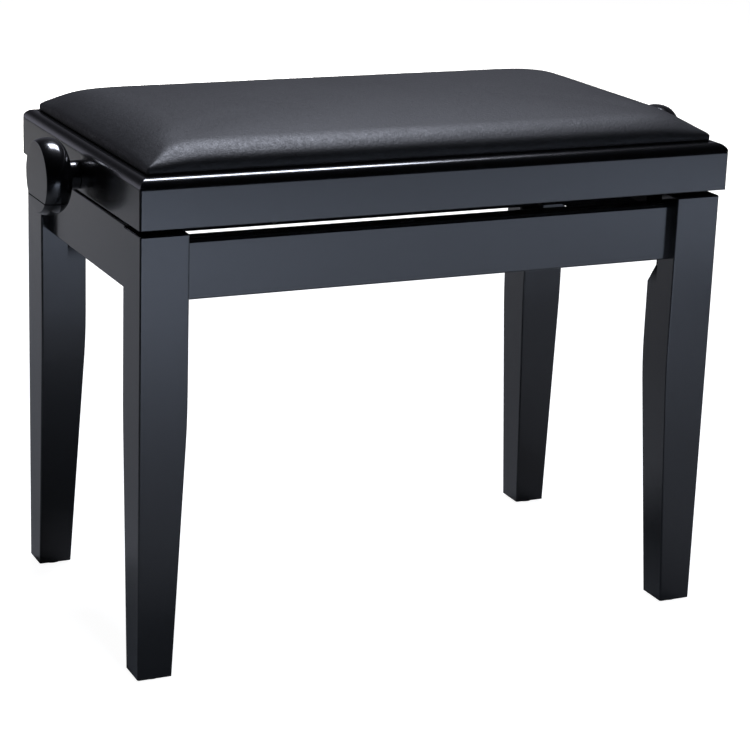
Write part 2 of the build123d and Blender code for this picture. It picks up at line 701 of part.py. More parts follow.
for end, sx in ENDS.items():
    with BuildPart() as rail:
        with BuildSketch(Plane.XZ) as section:
            rail_section(sx, FRAME_X, FRAME_INNER_X, RIM_X)
            fillet(section.vertices().sort_by_distance((sx * RIM_X, RIM_TOP))[0], RIM_EASE)
            fillet(section.vertices().sort_by_distance((sx * FRAME_X, FRAME_BOTTOM))[0], FRAME_EASE)
        extrude(amount=FRAME_Y, both=True)
        rail_plan(
            [
                (sx * FRAME_X, -FRAME_Y),
                (sx * FRAME_X, FRAME_Y),
                (sx * (FRAME_X - MITRE), FRAME_Y - MITRE),
                (sx * (FRAME_X - MITRE), -FRAME_Y + MITRE),
            ]
        )
        rod((0, 0, SPINDLE_Z), (sx, 0, 0), BUSH_RADIUS + PIN_FIT, SEAT_WIDTH, Mode.SUBTRACT)
    hand_over(rail, f"seat_rail_{end}")

# Glue blocks in the frame corners, screwed up into the board
BLOCK_BOTTOM = LEDGE - BLOCK_DROP
BOARD_SCREW_PLANES = [
    Plane(origin=(sx * BLOCK_SCREW_X, sy * BLOCK_SCREW_Y, BLOCK_BOTTOM), z_dir=(0, 0, 1))
    for sx, sy in CORNERS.values()
]
with BuildPart() as seat_blocks:
    for sx, sy in CORNERS.values():
        with BuildSketch(Plane.XY.offset(BLOCK_BOTTOM)):
            with BuildLine():
                Polyline(
                    (sx * FRAME_INNER_X, sy * FRAME_INNER_Y),
                    (sx * (FRAME_INNER_X - BLOCK_LEG), sy * FRAME_INNER_Y),
                    (sx * FRAME_INNER_X, sy * (FRAME_INNER_Y - BLOCK_LEG)),
                    close=True,
                )
            make_face()
        extrude(amount=BLOCK_DROP)
    screw_holes(BOARD_SCREW_PLANES, BOARD_SCREW_LENGTH)
hand_over(seat_blocks, "seat_blocks")
set_of_screws(BOARD_SCREW_PLANES, BOARD_SCREW_LENGTH, "board_screws")

# Upper rails: steel angles under the board, pivoted at the left and slotted at the right
UPPER_SCREW_STEPS = [UPPER_RAIL_LENGTH * share for share in (-0.45, -0.15, 0.15, 0.45)]


def upper_rail_screw_planes(sy):
    """Places of the screws that hold an upper rail to the board."""
    z = BOARD_BOTTOM - RAIL_THICKNESS
    return [Plane(origin=(x, sy * FLANGE_MIDDLE_Y, z), z_dir=(0, 0, 1)) for x in UPPER_SCREW_STEPS]


UPPER_SCREW_PLANES = [place for sy in SIDES.values() for place in upper_rail_screw_planes(sy)]
for side, sy in SIDES.items():
    with BuildPart() as rail:
        half_rail = (-UPPER_RAIL_LENGTH / 2, UPPER_RAIL_LENGTH / 2)
        block(
            half_rail,
            (sy * RAIL_Y, sy * (RAIL_Y + RAIL_FLANGE)),
            (BOARD_BOTTOM - RAIL_THICKNESS, BOARD_BOTTOM),
        )
        block(half_rail, (sy * RAIL_Y, sy * RAIL_OUTER_Y), (SPINDLE_Z - UPPER_RAIL_BELOW, BOARD_BOTTOM))
        rod((-PIVOT_X, 0, SPINDLE_Z), (0, sy, 0), TRUNNION_RADIUS + PIN_FIT, RAIL_OUTER_Y, Mode.SUBTRACT)
        slot_plane = Plane(origin=(PIVOT_X - SLIDE / 2, 0, SPINDLE_Z), x_dir=(1, 0, 0), z_dir=(0, sy, 0))
        with BuildSketch(slot_plane):
            SlotCenterToCenter(SLIDE + 2 * SLOT_SPARE, 2 * (TRUNNION_RADIUS + SLOT_FIT))
        extrude(amount=RAIL_OUTER_Y, mode=Mode.SUBTRACT)
        screw_holes(upper_rail_screw_planes(sy), RAIL_SCREW_LENGTH)
    hand_over(rail, f"upper_rail_{side}")
set_of_screws(UPPER_SCREW_PLANES, RAIL_SCREW_LENGTH, "upper_rail_screws")

# Cushion: a board, a foam pad and a wrapped cover
BOARD_INSET = COVER_THICKNESS + SOFT_GAP
with BuildPart() as seat_board:
    with BuildSketch(Plane.XY.offset(BOARD_BOTTOM)):
        RectangleRounded(2 * (COVER_X - BOARD_INSET), 2 * (COVER_Y - BOARD_INSET), COVER_CORNER - BOARD_INSET)
    extrude(amount=BOARD_THICKNESS)
    screw_holes(UPPER_SCREW_PLANES, RAIL_SCREW_LENGTH)
    screw_holes(BOARD_SCREW_PLANES, BOARD_SCREW_LENGTH)
hand_over(seat_board, "seat_board")


def crown_outline(half, turn, shoulder_radius, slope, inset, bottom):
    """Upright walls, a tight roll, a softer shoulder and a long crown, drawn in by an inset."""
    wall_top = RIM_TOP + CUSHION_WALL
    shoulder_turn = 90 - slope - turn
    edge = half - inset
    with BuildLine() as outline:
        rise = Line((edge, bottom), (edge, wall_top))
        roll = JernArc(rise @ 1, rise % 1, ROLL_RADIUS - inset, turn)
        shoulder = JernArc(roll @ 1, roll % 1, shoulder_radius - inset, shoulder_turn)
        reach = (shoulder @ 1).X
        crown = JernArc(shoulder @ 1, shoulder % 1, reach / math.sin(math.radians(slope)), 2 * slope)
        far_shoulder = JernArc(crown @ 1, crown % 1, shoulder_radius - inset, shoulder_turn)
        far_roll = JernArc(far_shoulder @ 1, far_shoulder % 1, ROLL_RADIUS - inset, turn)
        Polyline(far_roll @ 1, (-edge, bottom), (edge, bottom))
    make_face(outline.edges())


def pad(inset, bottom, mode=Mode.ADD):
    """Crowned pad with a crease running up each corner, put into the piece being built."""
    with BuildPart(mode=Mode.PRIVATE) as form:
        with BuildSketch(Plane.YZ):
            crown_outline(COVER_Y, ROLL_TURN_Y, SHOULDER_RADIUS_Y, CROWN_SLOPE_Y, inset, bottom)
        extrude(amount=SEAT_WIDTH, both=True)
        with BuildSketch(Plane.XZ):
            crown_outline(COVER_X, ROLL_TURN_X, SHOULDER_RADIUS_X, CROWN_SLOPE_X, inset, bottom)
        extrude(amount=SEAT_DEPTH, both=True, mode=Mode.INTERSECT)
        with BuildSketch(Plane.XY.offset(bottom)):
            RectangleRounded(2 * (COVER_X - inset), 2 * (COVER_Y - inset), COVER_CORNER - inset)
        extrude(amount=SEAT_DEPTH, mode=Mode.INTERSECT)
    add(form.part, mode=mode)


with BuildPart() as cushion_cover:
    pad(0, BOARD_BOTTOM - COVER_THICKNESS - SOFT_GAP / 2)
    pad(COVER_THICKNESS, BOARD_BOTTOM - SOFT_GAP / 2, Mode.SUBTRACT)
    block(
        (-COVER_X + HEM_WIDTH, COVER_X - HEM_WIDTH),
        (-COVER_Y + HEM_WIDTH, COVER_Y - HEM_WIDTH),
        (LEDGE - COVER_THICKNESS, BOARD_BOTTOM),
        Mode.SUBTRACT,
    )
hand_over(cushion_cover, "cushion_cover")

with BuildPart() as cushion_foam:
    pad(BOARD_INSET, RIM_TOP + SOFT_GAP)
hand_over(cushion_foam, "cushion_foam")

# Spindle with its collars, running in bushes in the side rails
SPINDLE_END = FRAME_X + KNOB_SOCKET
with BuildPart() as spindle:
    rod((-SPINDLE_END, 0, SPINDLE_Z), (1, 0, 0), SPINDLE_RADIUS, 2 * SPINDLE_END)
    chamfer(spindle.edges().filter_by(GeomType.CIRCLE), SPINDLE_CHAMFER)
hand_over(spindle, "spindle")

with BuildPart() as thrust_collars:
    for way in ENDS.values():
        ring(
            (-PIVOT_X + way * (BAR_WIDTH / 2 + THRUST_FIT), 0, SPINDLE_Z),
            (way, 0, 0),
            COLLAR_RADIUS,
            SPINDLE_RADIUS + PIN_FIT,
            COLLAR_WIDTH,
        )
hand_over(thrust_collars, "thrust_collars")

for end, sx in ENDS.items():
    with BuildPart() as bush:
        ring((sx * FRAME_X, 0, SPINDLE_Z), (-sx, 0, 0), BUSH_RADIUS, SPINDLE_RADIUS + PIN_FIT, FRAME_THICKNESS)
        ring(
            (sx * FRAME_INNER_X, 0, SPINDLE_Z),
            (-sx, 0, 0),
            BUSH_FLANGE_RADIUS,
            SPINDLE_RADIUS + PIN_FIT,
            BUSH_FLANGE,
        )
    hand_over(bush, f"spindle_bush_{end}")

# Turned knobs: a short neck, a round back, a full rim and a flat face
for end, sx in ENDS.items():
    axis_line = Axis((0, 0, SPINDLE_Z), (1, 0, 0))
    back = FRAME_X + KNOB_NECK
    waist = (sx * back, SPINDLE_Z + KNOB_RADIUS - KNOB_BACK_RADIUS)
    crest = (sx * (back + KNOB_BACK_RADIUS), SPINDLE_Z + KNOB_RADIUS)
    face_edge = (sx * (FRAME_X + KNOB_REACH), SPINDLE_Z + KNOB_RADIUS - KNOB_CROWN)
    with BuildPart() as knob:
        with BuildSketch(Plane.XZ) as turning:
            with BuildLine():
                Polyline(
                    face_edge,
                    (sx * (FRAME_X + KNOB_REACH), SPINDLE_Z),
                    (sx * (FRAME_X + KNOB_FIT), SPINDLE_Z),
                    (sx * (FRAME_X + KNOB_FIT), SPINDLE_Z + KNOB_NECK_RADIUS),
                    (sx * back, SPINDLE_Z + KNOB_NECK_RADIUS),
                    waist,
                )
                RadiusArc(waist, crest, sx * KNOB_BACK_RADIUS)
                TangentArc(crest, face_edge, tangent=(sx, 0))
            make_face()
            fillet(turning.vertices().sort_by_distance(face_edge)[0], KNOB_EDGE)
        revolve(axis=axis_line)
        rod(
            (sx * FRAME_X, 0, SPINDLE_Z),
            (sx, 0, 0),
            SPINDLE_RADIUS + PIN_FIT,
            KNOB_SOCKET + PIN_FIT,
            Mode.SUBTRACT,
        )
    hand_over(knob, f"knob_{end}")
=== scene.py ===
import json
import math

import bmesh
import bpy
from mathutils import Matrix, Vector


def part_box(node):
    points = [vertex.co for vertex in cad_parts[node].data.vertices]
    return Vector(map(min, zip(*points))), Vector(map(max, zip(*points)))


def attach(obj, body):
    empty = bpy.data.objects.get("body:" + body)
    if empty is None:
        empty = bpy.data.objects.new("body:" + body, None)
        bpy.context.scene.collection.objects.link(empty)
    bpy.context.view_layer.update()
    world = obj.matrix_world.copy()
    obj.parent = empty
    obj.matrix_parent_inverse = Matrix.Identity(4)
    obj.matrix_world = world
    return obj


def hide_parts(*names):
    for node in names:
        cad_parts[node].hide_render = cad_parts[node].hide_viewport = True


bl_info = {
    "name": "Adjustable piano bench",
    "version": (1, 0, 0),
    "blender": (4, 5, 0),
    "location": "3D View > Sidebar > Bench",
    "description": "Lacquer, padded seat, threaded spindle and studio for an adjustable piano bench",
    "category": "Object",
}

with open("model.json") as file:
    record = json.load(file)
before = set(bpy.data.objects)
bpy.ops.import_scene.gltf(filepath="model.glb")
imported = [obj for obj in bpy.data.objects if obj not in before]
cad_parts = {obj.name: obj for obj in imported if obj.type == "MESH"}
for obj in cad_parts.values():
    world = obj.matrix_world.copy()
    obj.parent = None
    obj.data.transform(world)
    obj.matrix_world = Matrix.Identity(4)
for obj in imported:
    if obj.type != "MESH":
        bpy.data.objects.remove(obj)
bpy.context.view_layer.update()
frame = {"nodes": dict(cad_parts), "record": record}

# Relief of a fine texture, in metres
RELIEF = 0.0002

# Cover of the cushion as cloth, the frames it has to swell in, and the turns of its foot in degrees
CLOTH = {
    "quality": 5,
    "mass": 0.4,
    "tension_stiffness": 40.0,
    "compression_stiffness": 40.0,
    "shear_stiffness": 20.0,
    "bending_stiffness": 2.0,
    "use_pressure": True,
}
SWELL_FRAMES = 20
TUCK_TURNS = (0, 30, 60, 90)

# Colours of the lamps, and the height of those that light the floor, in metres
COOL_LIGHT = (0.82, 0.86, 1.0)
BLUE_LIGHT = (0.66, 0.77, 1.0)
WARM_LIGHT = (1.0, 0.97, 0.93)
FLOOR_LAMP_HEIGHT = 1.05

# Room in metres; each wall has its inward direction and its glow at the left, at the right and high up
ROOM_SIZE = (9.0, 9.0, 4.5)
ROOM_SUNK = 0.01
FLOOR_REACH = 9.0
WALL_COLOUR = (1.0, 1.0, 1.2)
# The walls are no lamps: their glow, seen only in reflections, is painted reflection on the lacquer and the
# vinyl
WALLS = {
    "ceiling": ((0, 0, -1), 0.0, 0.0, 0.0),
    "front_wall": ((0, 1, 0), 0.0, 0.0, 0.0),
    "rear_wall": ((0, -1, 0), 0.30, 0.085, 0.02),
    "left_wall": ((1, 0, 0), 0.14, 0.14, 0.02),
    "right_wall": ((-1, 0, 0), 0.04, 0.04, 0.02),
}

# Heights between which a wall's glow fades at its left and at its right, and where the two meet, in metres
LOW_FADE = (0.4, 1.8)
TALL_FADE = (2.2, 4.4)
GLOW_CHANGE = (-1.0, 1.0)

# Camera: place in metres, yaw, pitch and roll in degrees, shift in picture widths, sensor in millimetres
CAMERA_PLACE = (-0.87105, -1.85817, 0.83092)
CAMERA_TURN = (24.067, 16.374, 1.663)
CAMERA_SHIFT = (0.0704, -0.0352)
SENSOR_WIDTH = 36.0


# Shader graphs
class Link:
    """Output of a node, ready for sums, differences and products."""

    def __init__(self, graph, socket):
        self.graph = graph
        self.socket = socket

    def __add__(self, other):
        return self.graph.maths("ADD", self, other)

    def __radd__(self, other):
        return self.graph.maths("ADD", other, self)

    def __sub__(self, other):
        return self.graph.maths("SUBTRACT", self, other)

    def __rsub__(self, other):
        return self.graph.maths("SUBTRACT", other, self)

    def __mul__(self, other):
        return self.graph.maths("MULTIPLY", self, other)

    def __rmul__(self, other):
        return self.graph.maths("MULTIPLY", other, self)


class Graph:
    """Emptied node tree of a material or of the world."""

    def __init__(self, owner):
        owner.use_nodes = True
        self.tree = owner.node_tree
        self.tree.nodes.clear()

    def node(self, kind, settings=None, inputs=None, output=0):
        """Add a node, give it its settings and then its sockets, and return one output, if it has any."""
        made = self.tree.nodes.new(kind)
        for name, value in (settings or {}).items():
            setattr(made, name, value)
        for name, value in (inputs or {}).items():
            if isinstance(value, Link):
                self.tree.links.new(value.socket, made.inputs[name])
            else:
                made.inputs[name].default_value = value
        return Link(self, made.outputs[output]) if made.outputs else None

    def maths(self, operation, *values):
        """Result of one step of arithmetic."""
        return self.node("ShaderNodeMath", {"operation": operation}, dict(enumerate(values)))

    def place(self):
        """Object coordinates in metres."""
        return self.node("ShaderNodeTexCoord", output="Object")

    def parts(self, place):
        """Single coordinates of a place."""
        split = self.node("ShaderNodeSeparateXYZ", None, {"Vector": place})
        return [Link(self, socket) for socket in split.socket.node.outputs]

    def rays(self, *kinds):
        """Share that is 1 for rays of the kinds that are named, and 0 for others."""
        path = self.node("ShaderNodeLightPath").socket.node
        return sum(Link(self, path.outputs[f"Is {kind} Ray"]) for kind in kinds)

    def noise(self, place, scale, detail, roughness):
        """Cloudy noise between about 0 and 1."""
        inputs = {"Vector": place, "Scale": scale, "Detail": detail, "Roughness": roughness}
        return self.node("ShaderNodeTexNoise", None, inputs)

    def streaks(self, place, scale, detail, roughness):
        """Noise drawn out by a different scale along each axis."""
        stretched = self.node("ShaderNodeMapping", None, {"Vector": place, "Scale": scale})
        return self.noise(stretched, 1.0, detail, roughness)

    def ramp(self, value, low, high):
        """Smooth step from 0 at one limit to 1 at the other."""
        inputs = {"Value": value, 1: low, 2: high}
        return self.node("ShaderNodeMapRange", {"interpolation_type": "SMOOTHSTEP"}, inputs)

    def blend(self, share, first, second):
        """Colour between two others."""
        return self.node("ShaderNodeMix", {"data_type": "RGBA"}, {0: share, 6: first, 7: second}, 2)

    def bump(self, height, strength, distance=RELIEF):
        """Normals of a surface that rises and falls with a height."""
        inputs = {"Height": height, "Strength": strength, "Distance": distance}
        return self.node("ShaderNodeBump", None, inputs)

    def principled(self, **sockets):
        """Principled shader; the names of its sockets have underscores in place of spaces."""
        inputs = {name.replace("_", " "): value for name, value in sockets.items()}
        return self.node("ShaderNodeBsdfPrincipled", None, inputs)

    def mixed(self, share, first, second):
        """Shader between two others."""
        return self.node("ShaderNodeMixShader", None, {0: share, 1: first, 2: second})

    def show(self, shader, output="ShaderNodeOutputMaterial"):
        """Join a shader to the output of the material or the world."""
        self.node(output, None, {"Surface": shader})


def shade(colour, factor):
    """Opaque colour made lighter or darker."""
    return tuple(min(1.0, part * factor) for part in colour[:3]) + (1.0,)


def grey(level):
    """Opaque grey."""
    return (level, level, level, 1.0)


# Objects
def make_mesh(name, form):
    """Turn a form into a mesh, and free the form."""
    mesh = bpy.data.meshes.new(name)
    form.to_mesh(mesh)
    form.free()
    return mesh


def add_object(scene, name, data):
    """Put data into the scene as an object."""
    made = bpy.data.objects.new(name, data)
    scene.collection.objects.link(made)
    return made


def close_form(form):
    """Fill the open ends of a form, and turn its faces outward."""
    bmesh.ops.holes_fill(form, edges=[edge for edge in form.edges if edge.is_boundary], sides=0)
    bmesh.ops.recalc_face_normals(form, faces=form.faces)


def dress_mesh(mesh, slot, fold_angle):
    """Shade a mesh smooth between its folds, and give it the finish of a slot."""
    for polygon in mesh.polygons:
        polygon.use_smooth = True
    mesh.set_sharp_from_angle(angle=fold_angle)
    mesh.materials.append(bpy.data.materials[slot])


# Settings
class BenchFinish(bpy.types.PropertyGroup):
    """Colours and gloss of every finish."""

    lacquer: bpy.props.FloatVectorProperty(
        name="Lacquer", description="Colour of the wood", subtype="COLOR", default=(0.0028, 0.0028, 0.0032)
    )
    lacquer_gloss: bpy.props.FloatProperty(
        name="Lacquer roughness",
        description="Roughness under the clear coat",
        default=0.24,
        min=0.0,
        max=1.0,
    )
    vinyl: bpy.props.FloatVectorProperty(
        name="Vinyl",
        description="Colour of the seat cover",
        subtype="COLOR",
        default=(0.0145, 0.0145, 0.0155),
    )
    vinyl_gloss: bpy.props.FloatProperty(
        name="Vinyl roughness", description="Roughness of the seat cover", default=0.52, min=0.0, max=1.0
    )
    grain: bpy.props.FloatProperty(
        name="Vinyl grain",
        description="Size of one pebble of the cover's grain",
        unit="LENGTH",
        default=0.0016,
    )


class BenchCushion(bpy.types.PropertyGroup):
    """Form of the padded seat."""

    wall: bpy.props.FloatProperty(
        name="Wall", description="Upright edge above the rim", unit="LENGTH", default=0.0046
    )
    roll: bpy.props.FloatProperty(
        name="Roll", description="Radius of the edge roll", unit="LENGTH", default=0.012
    )
    turn_across: bpy.props.FloatProperty(
        name="Turn across",
        description="Turn of the roll at front and rear",
        subtype="ANGLE",
        default=math.radians(50),
    )
    turn_along: bpy.props.FloatProperty(
        name="Turn along",
        description="Turn of the roll at the ends",
        subtype="ANGLE",
        default=math.radians(45.3),
    )
    shoulder_across: bpy.props.FloatProperty(
        name="Shoulder across",
        description="Radius inside the roll at front and rear",
        unit="LENGTH",
        default=0.045,
    )
    shoulder_along: bpy.props.FloatProperty(
        name="Shoulder along",
        description="Radius inside the roll at the ends",
        unit="LENGTH",
        default=0.075,
    )
    slope_across: bpy.props.FloatProperty(
        name="Slope across",
        description="Crown's slope at front and rear",
        subtype="ANGLE",
        default=math.radians(8),
    )
    slope_along: bpy.props.FloatProperty(
        name="Slope along",
        description="Crown's slope at the ends",
        subtype="ANGLE",
        default=math.radians(3.1),
    )
    crown: bpy.props.FloatProperty(
        name="Crown", description="Height of the middle above the walls", unit="LENGTH", default=0.0279
    )
    ridge: bpy.props.FloatProperty(
        name="Ridge", description="Sharpness of the ridge that runs in from a corner", default=12.0, min=0.5
    )
    corner_draw: bpy.props.FloatProperty(
        name="Corner draw",
        description="Share of the height that is lost at a corner",
        default=0.30,
        min=0.0,
        max=1.0,
    )
    corner_drop: bpy.props.FloatProperty(
        name="Corner drop",
        description="How far the walls are lower at a corner",
        unit="LENGTH",
        default=0.0010,
    )
    corner_reach: bpy.props.FloatProperty(
        name="Corner reach",
        description="How far the draw of a corner reaches in",
        unit="LENGTH",
        default=0.0327,
    )
    corner: bpy.props.FloatProperty(
        name="Corner", description="Radius of the corners in plan", unit="LENGTH", default=0.0025
    )
    step: bpy.props.FloatProperty(
        name="Rough step", description="Spacing of the mesh that swells", unit="LENGTH", default=0.006
    )
    fine_step: bpy.props.FloatProperty(
        name="Fine step", description="Spacing of the finished mesh", unit="LENGTH", default=0.0022
    )
    tuck: bpy.props.FloatProperty(
        name="Tuck",
        description="Radius by which the foot of the walls turns in",
        unit="LENGTH",
        default=0.002,
    )
    rest_gap: bpy.props.FloatProperty(
        name="Rest gap", description="Gap between pad and board", unit="LENGTH", default=0.0002
    )
    cover: bpy.props.FloatProperty(
        name="Cover", description="Thickness of the wrapped cover", unit="LENGTH", default=0.0012
    )
    hem: bpy.props.FloatProperty(
        name="Hem", description="Width of the cover under the board", unit="LENGTH", default=0.018
    )
    held: bpy.props.FloatProperty(
        name="Held edge",
        description="Height above the walls that can't swell",
        unit="LENGTH",
        default=0.0005,
    )
    fold_angle: bpy.props.FloatProperty(
        name="Fold angle",
        description="Least angle that shows as a sharp fold",
        subtype="ANGLE",
        default=math.radians(40),
    )
    smoothing: bpy.props.IntProperty(
        name="Smoothing", description="Rounds of smoothing after it swells", default=4, min=0
    )
    pressure: bpy.props.FloatProperty(name="Pressure", description="Pressure inside the cover", default=2.0)
    most_swell: bpy.props.FloatProperty(
        name="Most swell", description="Farthest that the cover moves", unit="LENGTH", default=0.0010
    )


class BenchSpindle(bpy.types.PropertyGroup):
    """Thread of the lifting screw."""

    pitch: bpy.props.FloatProperty(
        name="Pitch",
        description="Distance from one turn of the thread to the next",
        unit="LENGTH",
        default=0.004,
    )
    depth: bpy.props.FloatProperty(
        name="Depth", description="How deep the thread is cut", unit="LENGTH", default=0.0016
    )
    groove: bpy.props.FloatProperty(
        name="Groove",
        description="Share of the pitch that the groove is wide",
        default=0.8,
        min=0.0,
        max=1.0,
    )
    flank: bpy.props.FloatProperty(
        name="Flank",
        description="Share of the pitch that one flank is wide",
        default=0.25,
        min=0.01,
        max=0.5,
    )
    start: bpy.props.FloatProperty(
        name="Start", description="Where the thread starts, from the middle", unit="LENGTH", default=0.062
    )
    end: bpy.props.FloatProperty(
        name="End", description="Where the thread ends, from the middle", unit="LENGTH", default=0.202
    )
    bevel: bpy.props.FloatProperty(
        name="Bevel", description="Bevel on the ends of the spindle", unit="LENGTH", default=0.001
    )
    sides: bpy.props.IntProperty(
        name="Sides", description="Number of sides round the spindle", default=32, min=8
    )
    cuts: bpy.props.IntProperty(
        name="Cuts", description="Number of rings in one turn of the thread", default=12, min=6
    )
    fold_angle: bpy.props.FloatProperty(
        name="Fold angle",
        description="Least angle that shows as a sharp edge",
        subtype="ANGLE",
        default=math.radians(40),
    )


class BenchStudio(bpy.types.PropertyGroup):
    """Light, floor and camera."""

    key_power: bpy.props.FloatProperty(
        name="Overhead light", description="Power of the overhead softbox", unit="POWER", default=39.5
    )
    left_power: bpy.props.FloatProperty(
        name="Left light",
        description="Power of the light over the floor at front left",
        unit="POWER",
        default=27.0,
    )
    right_power: bpy.props.FloatProperty(
        name="Right light",
        description="Power of the light over the floor at front right",
        unit="POWER",
        default=16.6,
    )
    rear_power: bpy.props.FloatProperty(
        name="Rear light",
        description="Power of the light over the floor at the rear",
        unit="POWER",
        default=34.0,
    )
    side_power: bpy.props.FloatProperty(
        name="Side light",
        description="Power of the light over the floor at the right",
        unit="POWER",
        default=30.0,
    )
    ambient: bpy.props.FloatProperty(
        name="Ambient", description="Strength of the light from all round", default=0.10, min=0.0
    )
    lens: bpy.props.FloatProperty(
        name="Lens", description="Focal length of the camera in millimetres", default=110.06, min=1.0
    )


# Finishes
def dull_and_shaded_inside(graph, place):
    """Share that is 1 on the tops of the legs and the faces between the aprons, and 0 elsewhere; there the
    dull lacquer paints shade.
    """
    across, along, level = graph.parts(place)
    corner = Vector((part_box("apron_right")[0].x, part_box("apron_rear")[0].y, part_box("apron_rear")[0].z))
    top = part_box("leg_front_left")[1].z
    fade = 0.01
    ease = 0.0006
    skin = 0.0001
    share = graph.ramp(level, corner.z - 3 * fade, corner.z - fade)
    for part, edge in ((across, corner.x), (along, corner.y)):
        share = share * (1.0 - graph.ramp(graph.maths("ABSOLUTE", part), edge + ease, edge + 2 * ease))
    tops = graph.ramp(level, top - 2 * skin, top - skin)
    tops = tops * (1.0 - graph.ramp(level, top + ease, top + 2 * ease))
    return graph.maths("MAXIMUM", share, tops)


def lacquer_finish(material, colour, roughness, coat_roughness):
    """Sprayed lacquer, polished outside and dull inside, where it is darkened as painted shade, with a faint
    unevenness and a few dull patches.
    """
    graph = Graph(material)
    place = graph.place()
    cloud = graph.noise(place, scale=7.0, detail=3.0, roughness=0.6)
    peel = graph.noise(place, scale=320.0, detail=2.0, roughness=0.5)
    rubbed = graph.streaks(place, scale=(30.0, 30.0, 240.0), detail=3.0, roughness=0.6)
    polished = graph.principled(
        Base_Color=graph.blend(cloud, shade(colour, 0.8), shade(colour, 1.25)),
        Roughness=cloud * 0.07 + rubbed * 0.05 + (roughness - 0.06),
        Normal=graph.bump(peel, strength=0.05),
        Coat_Weight=1.0,
        Coat_Roughness=coat_roughness,
    )
    # Dull branch: unfinished lacquer whose very low specular level also paints shade on the leg tops and
    # between the aprons
    dull = graph.principled(
        Base_Color=graph.blend(rubbed, shade(colour, 0.9), shade(colour, 1.8)),
        Roughness=cloud * 0.1 + 0.85,
        Normal=graph.bump(rubbed, strength=0.2),
        Specular_IOR_Level=0.08,
    )
    graph.show(graph.mixed(dull_and_shaded_inside(graph, place), polished, dull))


def vinyl_finish(material, colour, roughness, grain):
    """Coated fabric with a fine pebbled grain and a slightly worn sheen."""
    graph = Graph(material)
    place = graph.place()
    cloud = graph.noise(place, scale=11.0, detail=3.0, roughness=0.6)
    pebbles = graph.node(
        "ShaderNodeTexVoronoi",
        {"feature": "SMOOTH_F1"},
        {"Vector": place, "Scale": 1.0 / grain, "Smoothness": 0.6},
        "Distance",
    )
    crease = graph.streaks(place, scale=(270.0, 230.0, 270.0), detail=2.0, roughness=0.6)
    height = pebbles * 0.5 + crease
    shader = graph.principled(
        Base_Color=graph.blend(cloud, shade(colour, 0.85), shade(colour, 1.2)),
        Roughness=cloud * 0.08 + height * 0.26 + (roughness - 0.226),
        Normal=graph.bump(height, strength=1.0),
    )
    graph.show(shader)


def wood_finish(material, dark, light, length_axis, roughness):
    """Bare or stained wood with grain that runs along one axis."""
    graph = Graph(material)
    place = graph.place()
    scale = [46.0, 46.0, 46.0]
    scale[length_axis] = 2.5
    figure = graph.streaks(place, scale=scale, detail=5.0, roughness=0.62)
    pores = graph.streaks(place, scale=[part * 11.0 for part in scale], detail=2.0, roughness=0.5)
    shader = graph.principled(
        Base_Color=graph.blend(graph.ramp(figure + pores * 0.25, 0.45, 0.80), dark, light),
        Roughness=figure * 0.15 + roughness,
        Normal=graph.bump(figure + pores * 0.5, strength=0.25, distance=2 * RELIEF),
    )
    graph.show(shader)


def steel_finish(material, colour, roughness, lines_scale):
    """Plated metal with fine drawing lines and a cloudy surface."""
    graph = Graph(material)
    place = graph.place()
    cloud = graph.noise(place, scale=60.0, detail=3.0, roughness=0.6)
    lines = graph.streaks(place, scale=lines_scale, detail=2.0, roughness=0.5)
    shader = graph.principled(
        Base_Color=graph.blend(cloud, shade(colour, 0.85), shade(colour, 1.1)),
        Metallic=1.0,
        Roughness=cloud * 0.12 + lines * 0.10 + (roughness - 0.1),
        Normal=graph.bump(lines, strength=0.06),
    )
    graph.show(shader)


def paint_finish(material, colour, roughness):
    """Baked paint with a light texture and thin, paler spots."""
    graph = Graph(material)
    place = graph.place()
    cloud = graph.noise(place, scale=25.0, detail=4.0, roughness=0.6)
    texture = graph.noise(place, scale=900.0, detail=2.0, roughness=0.5)
    shader = graph.principled(
        Base_Color=graph.blend(graph.ramp(cloud, 0.45, 0.75), colour, shade(colour, 1.7)),
        Roughness=cloud * 0.10 + texture * 0.08 + (roughness - 0.08),
        Normal=graph.bump(texture, strength=0.12),
    )
    graph.show(shader)


def plastic_finish(material, colour, roughness):
    """Moulded plastic with a dull, faintly mottled surface."""
    graph = Graph(material)
    place = graph.place()
    cloud = graph.noise(place, scale=120.0, detail=3.0, roughness=0.6)
    shader = graph.principled(
        Base_Color=graph.blend(cloud, shade(colour, 0.85), shade(colour, 1.15)),
        Roughness=cloud * 0.12 + (roughness - 0.06),
        Normal=graph.bump(cloud, strength=0.08),
    )
    graph.show(shader)


